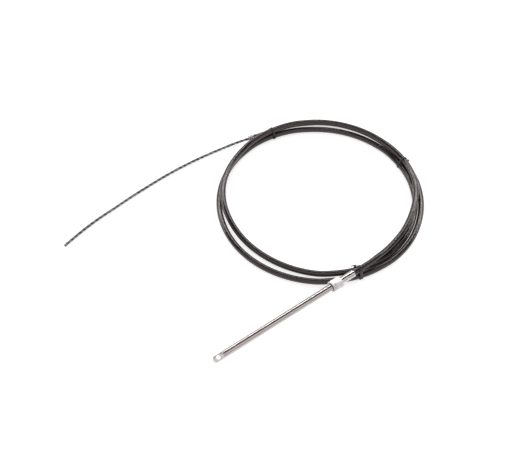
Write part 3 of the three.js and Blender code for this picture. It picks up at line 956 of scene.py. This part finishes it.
def add_strap(shape, middles, outside, offset, width):
    """One wrap of the strap, with its edges rounded."""
    strap = bmesh.new()
    rings = []
    for radius in (outside, outside - TIE_THICKNESS):
        line = drawn_round(middles, radius)
        ring = [strap.verts.new((p.x, p.y, offset - width / 2)) for p in line]
        rings += [strap.edges.new((a, b)) for a, b in zip(ring, ring[1:] + ring[:1])]
    flat = bmesh.ops.bridge_loops(strap, edges=rings)["faces"]
    grown = bmesh.ops.extrude_face_region(strap, geom=flat)["geom"]
    far_side = [v for v in grown if isinstance(v, bmesh.types.BMVert)]
    bmesh.ops.translate(strap, vec=(0, 0, width), verts=far_side)
    bmesh.ops.recalc_face_normals(strap, faces=strap.faces)
    break_edges(strap, TIE_STRAP_BREAK, 60)
    join_shape(shape, strap)


def join_shape(shape, other):
    """Puts the other shape's faces into the first."""
    mesh = bpy.data.meshes.new("joined")
    other.to_mesh(mesh)
    other.free()
    shape.from_mesh(mesh)
    bpy.data.meshes.remove(mesh)


def tie_head(seat, outward, wraps):
    """The locking head with its slot, and the tail that stands out of it or lies along the strands."""
    head = bmesh.new()
    bmesh.ops.create_cube(head, size=1)
    bmesh.ops.scale(head, vec=TIE_HEAD, verts=head.verts)
    top = max(head.faces, key=lambda face: face.calc_center_median().y)
    bmesh.ops.inset_individual(head, faces=[top], thickness=TIE_SLOT_WALL, depth=0)
    bmesh.ops.translate(head, vec=(0, -TIE_SLOT_DEPTH, 0), verts=top.verts)
    break_edges(head, TIE_HEAD_BREAK, 50)
    half, thin = TIE_WIDTH / 2 - TIE_WRAP_GAP, TIE_THICKNESS / 2
    top = TIE_HEAD.y / 2
    if wraps == 1:
        tail = block((-thin, 0, -half), (thin, top + TIE_TAIL, half))
    else:
        tail = block((-half, top - thin, 0), (half, top + thin, TIE_LOOSE_TAIL))
    break_edges(tail, TIE_TAIL_BREAK, 60)
    join_shape(head, tail)
    turn = math.atan2(outward.y, outward.x) - math.pi / 2
    place = Matrix.Translation((seat.x, seat.y, 0)) @ Matrix.Rotation(turn, 4, "Z")
    bmesh.ops.transform(head, matrix=place, verts=head.verts)
    return head


tie_nylon, tree, shader = new_finish("tie_nylon", Specular_IOR_Level=0.6)
place = add_node(tree, "ShaderNodeTexCoord").outputs["Object"]
look = grain_node(tree, place, 2200, 160)
tone = two_tones(tree, look.outputs["Clouding"], NYLON, NYLON_RUBBED)
tree.links.new(tone, shader.inputs["Base Color"])
tree.links.new(ranged(tree, look.outputs["Clouding"], 0.30, 0.42), shader.inputs["Roughness"])
bump_up(tree, shader, look.outputs["Grain"], 0.00001, 0.4)

for name, angle, wraps, head_side, skew, slack in TIES:
    turn, heading = math.radians(angle), math.radians(angle + skew)
    origin = COIL_MIDDLE.xy + COIL_RADIUS * Vector((math.cos(turn), math.sin(turn)))
    direction = Vector((math.cos(heading), math.sin(heading)))
    crossings = sorted(strand_crossings(origin, direction), key=lambda p: -p.y)
    top = crossings[0]
    inner, outer = sorted(crossings[1:3], key=lambda p: p.x)
    outside = tie_reach(skew, slack)
    shape = bmesh.new()
    for wrap in range(wraps):
        offset = (wrap - (wraps - 1) / 2) * TIE_WIDTH
        width = TIE_WIDTH - TIE_WRAP_GAP * (wraps - 1)
        add_strap(shape, [inner, outer, top], outside, offset, width)
    edge, side = (inner, -1) if head_side == "inner" else (outer, 1)
    outward = Vector((side * math.cos(TIE_HEAD_RISE), math.sin(TIE_HEAD_RISE)))
    seat = edge + outward * (outside - TIE_THICKNESS / 2 + TIE_HEAD.y / 2)
    join_shape(shape, tie_head(seat, outward, wraps))
    stand = (
        Matrix.Translation((origin.x, origin.y, 0))
        @ Matrix.Rotation(heading, 4, "Z")
        @ Matrix.Rotation(math.pi / 2, 4, "X")
    )
    add_piece(shape, name + "_strap", stand, tie_nylon, "cable", name)


# Floor: a plain, pale, matt light table that the cable lies on. It isn't part of the object.
FLOOR_HALF = 4.0
floor_shape = bmesh.new()
bmesh.ops.create_grid(floor_shape, x_segments=1, y_segments=1, size=FLOOR_HALF)
floor_mesh = bpy.data.meshes.new("floor")
floor_shape.to_mesh(floor_mesh)
floor_shape.free()
floor_paint, tree, shader = new_finish(
    "floor_paint",
    Base_Color=(0.8, 0.8, 0.8, 1),
    Roughness=0.9,
    Emission_Color=(1, 1, 1, 1),
    Emission_Strength=0.62,
)
floor_mesh.materials.append(floor_paint)
floor = bpy.data.objects.new("floor", floor_mesh)
bpy.context.scene.collection.objects.link(floor)

# Light: a white tent that is open in a slot overhead, which draws the dark line along the polished rod.
# A narrow bright strip behind the slot draws the thin highlights along the jacket.
# The light is given by the angle from straight overhead towards the back: (degrees, brightness).
TENT = [
    (-90, 0.026),
    (-50, 0.055),
    (-9, 0.085),
    (-6, 0.001),
    (34, 0.001),
    (36.5, 0.10),
    (38, 0.10),
    (38.6, 1.0),
    (41.2, 1.0),
    (42, 0.09),
    (65, 0.055),
    (90, 0.02),
]
TENT_STRENGTH = 14
world = bpy.data.worlds.new("studio")
bpy.context.scene.world = world
world.use_nodes = True
tree = world.node_tree
direction = add_node(tree, "ShaderNodeTexCoord").outputs["Generated"]
parts = add_node(tree, "ShaderNodeSeparateXYZ", {"Vector": direction}).outputs
lean = add_node(tree, "ShaderNodeMath", {0: parts["Y"], 1: parts["Z"]}, operation="ARCTAN2").outputs[0]
share = ranged(tree, lean, 0, 1, -math.pi / 2, math.pi / 2)
tent = add_node(tree, "ShaderNodeValToRGB", {"Fac": share})
stops = tent.color_ramp.elements
for angle, light in TENT:
    place = (angle + 90) / 180
    stop = stops[0] if place == 0 else stops[-1] if place == 1 else stops.new(place)
    stop.color = (light, light, light, 1)
background = tree.nodes["Background"]
tree.links.new(tent.outputs["Color"], background.inputs["Color"])
background.inputs["Strength"].default_value = TENT_STRENGTH
bpy.context.scene.view_settings.view_transform = "Standard"
